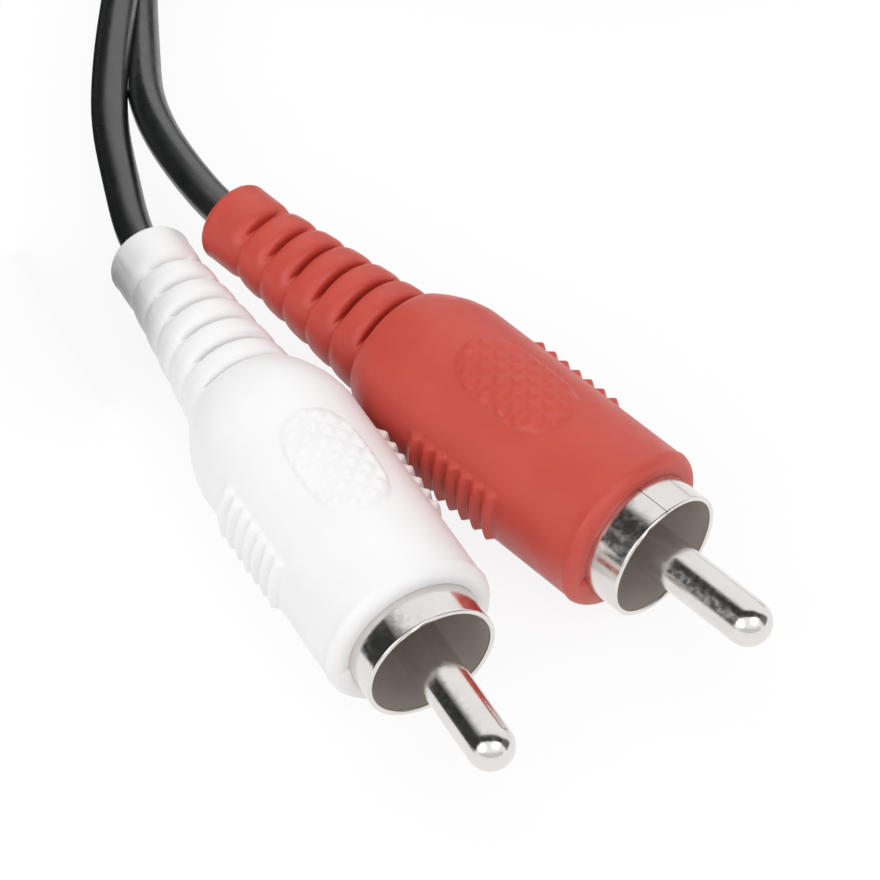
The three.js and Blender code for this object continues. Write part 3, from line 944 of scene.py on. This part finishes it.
def light_world(ambient, tint):
    """White to the camera and in metal, and a plain level of light on everything else."""
    world = bpy.data.worlds.new("studio")
    bpy.context.scene.world = world
    world.use_nodes = True
    tree = world.node_tree
    tree.nodes.clear()
    seen = tree.nodes.new("ShaderNodeBackground")
    seen.inputs["Color"].default_value = (1, 1, 1, 1)
    lit = tree.nodes.new("ShaderNodeBackground")
    lit.inputs["Color"].default_value = (*tint, 1)
    lit.inputs["Strength"].default_value = ambient
    mix = tree.nodes.new("ShaderNodeMixShader")
    output = tree.nodes.new("ShaderNodeOutputWorld")
    tree.links.new(camera_or_gloss(tree), mix.inputs["Fac"])
    tree.links.new(lit.outputs[0], mix.inputs[1])
    tree.links.new(seen.outputs[0], mix.inputs[2])
    tree.links.new(mix.outputs[0], output.inputs["Surface"])


def add_sun(name, toward, share, angle, in_metal=True):
    """A big soft lamp in this direction, which gives a surface facing it this share of white."""
    data = bpy.data.lights.new(name, "SUN")
    data.energy = share * math.pi
    data.angle = math.radians(angle)
    lamp = bpy.data.objects.new(name, data)
    lamp.rotation_mode = "QUATERNION"
    lamp.rotation_quaternion = Vector(toward).to_track_quat("Z", "Y")
    lamp.visible_glossy = in_metal
    bpy.context.scene.collection.objects.link(lamp)


def floor_material(glow, albedo):
    """White where it is unshaded, and darker only in the object's shadow."""
    material = bpy.data.materials.new("white_floor")
    material.use_nodes = True
    tree = material.node_tree
    tree.nodes.clear()
    plain = tree.nodes.new("ShaderNodeBsdfDiffuse")
    plain.inputs["Color"].default_value = (0.8, 0.8, 0.8, 1)
    shaded = tree.nodes.new("ShaderNodeBsdfDiffuse")
    shaded.inputs["Color"].default_value = (albedo, albedo, albedo, 1)
    glowing = tree.nodes.new("ShaderNodeEmission")
    glowing.inputs["Strength"].default_value = glow
    both = tree.nodes.new("ShaderNodeAddShader")
    mix = tree.nodes.new("ShaderNodeMixShader")
    output = tree.nodes.new("ShaderNodeOutputMaterial")
    tree.links.new(shaded.outputs[0], both.inputs[0])
    tree.links.new(glowing.outputs[0], both.inputs[1])
    tree.links.new(camera_or_gloss(tree), mix.inputs["Fac"])
    tree.links.new(plain.outputs[0], mix.inputs[1])
    tree.links.new(both.outputs[0], mix.inputs[2])
    tree.links.new(mix.outputs[0], output.inputs["Surface"])
    return material


def add_floor():
    """A round floor, far wider than the object."""
    radius = 4
    mesh = bpy.data.meshes.new("floor")
    solid = bmesh.new()
    bmesh.ops.create_circle(solid, cap_ends=True, radius=radius, segments=64)
    solid.to_mesh(mesh)
    solid.free()
    mesh.materials.append(floor_material(glow=0.88, albedo=0.12))
    floor = bpy.data.objects.new("floor", mesh)
    bpy.context.scene.collection.objects.link(floor)


def card_material(name, shade, fade):
    """A plain shade, which may turn white towards the card's upper edge over the share fade."""
    material, tree, shader = new_material(name)
    shader.inputs["Base Color"].default_value = (0, 0, 0, 1)
    shader.inputs["Specular IOR Level"].default_value = 0
    shader.inputs["Emission Strength"].default_value = 1
    shader.inputs["Emission Color"].default_value = (*shade, 1)
    if fade:
        coords = tree.nodes.new("ShaderNodeTexCoord")
        split = tree.nodes.new("ShaderNodeSeparateXYZ")
        tree.links.new(coords.outputs["Generated"], split.inputs[0])
        share = mapped(tree, split.outputs["Y"], 1 - fade, 1, 0, 1)
        tree.links.new(blended(tree, share, shade, (1, 1, 1)), shader.inputs["Emission Color"])
    return material


def add_card(name, corners, shade, fade=0.0, shades_matt=False):
    """A card that shows only in gloss, or only on matt surfaces, as a studio's black flags do."""
    mesh = bpy.data.meshes.new(name)
    mesh.from_pydata(corners, [], [tuple(range(len(corners)))])
    mesh.materials.append(card_material(name, shade, fade))
    card = bpy.data.objects.new(name, mesh)
    card.visible_camera = False
    card.visible_diffuse = shades_matt
    card.visible_glossy = not shades_matt
    card.visible_shadow = False
    bpy.context.scene.collection.objects.link(card)


def upright(start, end, low, high):
    """The corners of an upright card between two places on the floor."""
    return [(*start, low), (*end, low), (*end, high), (*start, high)]


def level(outline, height):
    """The corners of a card that lies level over this outline."""
    return [(x, y, height) for x, y in outline]


def add_cards():
    """The dark and grey parts of the studio that the metal and the cord mirror."""
    dark = (0.035, 0.037, 0.036)
    right_grey = (0.16, 0.155, 0.15)
    front_grey = (0.68, 0.67, 0.66)
    overhead = [(-1.6, -0.3), (1.3, -0.3), (1.3, 0.36), (-1.6, 0.36)]
    board = [(-0.046, -0.05), (-0.031, -0.005), (-0.0235, 0.018), (-0.0245, 0.032)]
    board += [(-0.0235, 0.2), (-1, 0.2), (-1, -0.05)]
    beside_collar = upright((-0.0285, 0.0245), (-0.0215, 0.0105), -0.0005, 0.011)
    add_card("ceiling", level(overhead, 1), dark, fade=0.2)
    add_card("left_wall", upright((-1.2, -0.55), (-1.2, 0.45), 0, 1.15), dark)
    add_card("far_left_wall", upright((-1.2, 0.45), (-0.3, 1.25), 0, 1.25), dark)
    add_card("left_board", level(board, 0.0003), dark)
    add_card("right_wall", upright((1.3, -0.45), (1.3, 0.35), 0, 1), right_grey)
    add_card("front_wall", upright((-0.9, -0.8), (1.1, -0.8), -0.12, 0.32), front_grey)
    add_card("collar_flag", beside_collar, dark, shades_matt=True)


light_world(ambient=0.8, tint=(0.99, 0.985, 0.985))
add_sun("left_lamp", toward=(-0.6, -0.56, 0.54), share=0.15, angle=36)
add_sun("right_lamp", toward=(0.4, -0.48, 0.77), share=0.14, angle=36)
add_sun("back_lamp", toward=(-0.3, 0.6, 0.74), share=0.13, angle=60, in_metal=False)
add_floor()
add_cards()

bpy.context.scene.view_settings.view_transform = "Standard"
